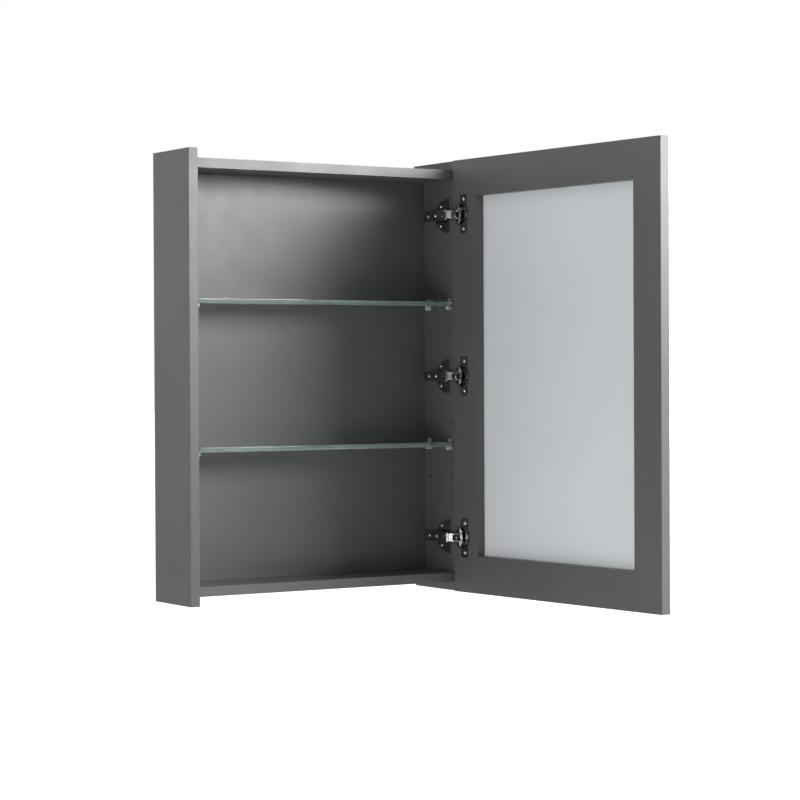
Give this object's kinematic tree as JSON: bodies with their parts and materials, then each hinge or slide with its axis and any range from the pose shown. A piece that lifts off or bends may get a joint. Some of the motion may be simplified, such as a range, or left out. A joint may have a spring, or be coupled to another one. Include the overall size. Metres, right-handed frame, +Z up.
{
  "type": "mirror cabinet",
  "caption": "Wall cabinet with glass shelves and a mirror door that opens to the right on concealed hinges, shown with the door open.",
  "frame": {"origin": "on the wall plane, midway between the two keyhole entries of the hanger plates", "axes": "+X to the right seen from the front, +Y towards the wall, +Z up"},
  "size_m": [0.5303, 0.6214, 0.7],
  "materials": {
    "cabinet_lacquer": "satin grey lacquer on 15 mm board",
    "dowel_wood": "plain beech",
    "zinc_plate": "zinc plated",
    "screw_steel": "bright nickel plated",
    "shelf_glass": "polished, pale green edges",
    "support_plastic": "clear moulded",
    "adhesive_tape": "foam tape",
    "mirror_back": "satin pale blue-grey backing paint",
    "mirror_face": "silvered, polished edges",
    "hinge_nickel": "bright nickel plated pressed steel",
    "pin_steel": "plain hardened steel"
  },
  "bodies": {
    "cabinet": {"left_side_panel": "cabinet_lacquer", "right_side_panel": "cabinet_lacquer", "top_panel": "cabinet_lacquer", "bottom_panel": "cabinet_lacquer", "back_panel": "cabinet_lacquer", "upper_rear_rail": "cabinet_lacquer", "lower_rear_rail": "cabinet_lacquer", "carcass_dowels": "dowel_wood", "hanger_plates": "zinc_plate", "hanger_screws": "screw_steel", "upper_glass_shelf": "shelf_glass", "lower_glass_shelf": "shelf_glass", "upper_shelf_supports": "support_plastic", "lower_shelf_supports": "support_plastic", "hinge_arm_pins": "pin_steel", "plate_screws": "screw_steel", "depth_screws": "screw_steel", "overlay_screws": "screw_steel", "lower_mounting_plate": "hinge_nickel", "lower_hinge_arm": "hinge_nickel", "middle_mounting_plate": "hinge_nickel", "middle_hinge_arm": "hinge_nickel", "upper_mounting_plate": "hinge_nickel", "upper_hinge_arm": "hinge_nickel"},
    "inner_links": {"lower_inner_link": "hinge_nickel", "middle_inner_link": "hinge_nickel", "upper_inner_link": "hinge_nickel"},
    "outer_links": {"lower_outer_link": "hinge_nickel", "middle_outer_link": "hinge_nickel", "upper_outer_link": "hinge_nickel"},
    "door": {"door_frame": "cabinet_lacquer", "mirror_adhesive": "adhesive_tape", "mirror_backing": "mirror_back", "mirror_glass": "mirror_face", "cup_screws": "screw_steel", "hinge_cup_pins": "pin_steel", "hinge_springs": "pin_steel", "lower_hinge_cup": "hinge_nickel", "middle_hinge_cup": "hinge_nickel", "upper_hinge_cup": "hinge_nickel"}
  },
  "joints": [
    {"name": "inner_link_swing", "type": "hinge", "parent": "cabinet", "child": "inner_links", "pos_m": [0.2258, -0.1249, 0], "axis": [0, 0, 1], "range_deg": [-0.3, 20.12]},
    {"name": "door_swing", "type": "hinge", "parent": "inner_links", "child": "door", "pos_m": [0.23664, -0.13426, 0], "axis": [0, 0, 1], "range_deg": [-113.7, 1.7]},
    {"name": "outer_link_swing", "type": "hinge", "parent": "cabinet", "child": "outer_links", "pos_m": [0.215, -0.126, 0], "axis": [0, 0, 1], "range_deg": [-0.7, 39.7]}
  ],
  "couplings": [
    {"joint": "door_swing", "follows": "inner_link_swing", "ratio": -5.65},
    {"joint": "outer_link_swing", "follows": "inner_link_swing", "ratio": 1.966}
  ]
}
